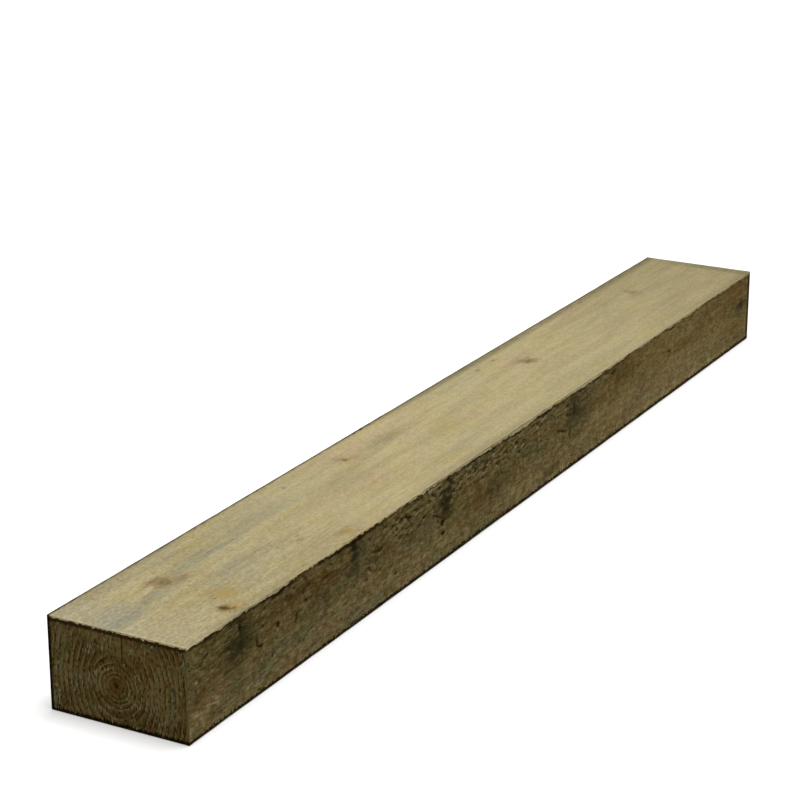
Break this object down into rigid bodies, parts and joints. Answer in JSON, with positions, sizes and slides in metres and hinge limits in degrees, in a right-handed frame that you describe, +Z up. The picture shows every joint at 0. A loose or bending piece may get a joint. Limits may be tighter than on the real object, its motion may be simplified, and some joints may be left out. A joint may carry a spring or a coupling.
{
  "type": "treated timber joist",
  "caption": "Short straight length of rough-sawn, pressure-treated softwood joist with a rectangular section, worn arrises and square-cut ends, lying on a wide face.",
  "frame": {"origin": "middle of the wide face that the joist lies on, halfway between its two cut ends", "axes": "+X runs along the grain, +Y across the wide face and +Z up through the thickness"},
  "size_m": [0.68, 0.075, 0.047],
  "materials": {
    "treated_timber": "rough sawn, preservative treated, dull olive tan that is darker on the cut ends"
  },
  "bodies": {
    "root": {"joist": "treated_timber"}
  },
  "joints": []
}
